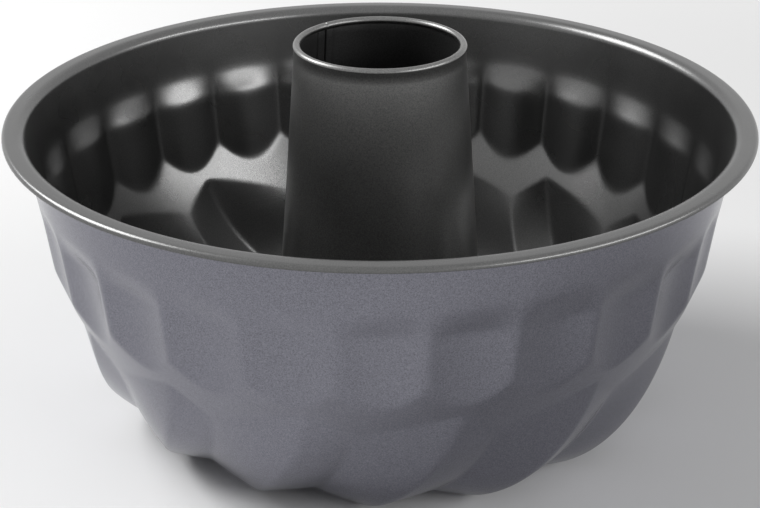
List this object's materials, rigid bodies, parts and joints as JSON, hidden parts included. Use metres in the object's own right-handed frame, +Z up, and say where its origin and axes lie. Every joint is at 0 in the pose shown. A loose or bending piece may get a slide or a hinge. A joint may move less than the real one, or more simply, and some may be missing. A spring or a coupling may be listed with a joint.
{
  "type": "ring cake pan",
  "caption": "Fluted ring cake pan: a pressed steel shell with a flat rim, dented wall panels and spiral lobes, and a conical centre tube crimped into its floor.",
  "frame": {"origin": "on the surface that the pan stands on, under the pan's axis", "axes": "+Z up along the tube's axis; -Y is the front in the picture, with a panel's middle on it"},
  "size_m": [0.2332, 0.2332, 0.1212],
  "materials": {
    "shell_coating": "dark grey non-stick coating with a fine metallic speckle",
    "tube_coating": "dark grey non-stick coating, smooth and semi-gloss"
  },
  "bodies": {
    "root": {"shell": "shell_coating", "centre_tube": "tube_coating"}
  },
  "joints": []
}
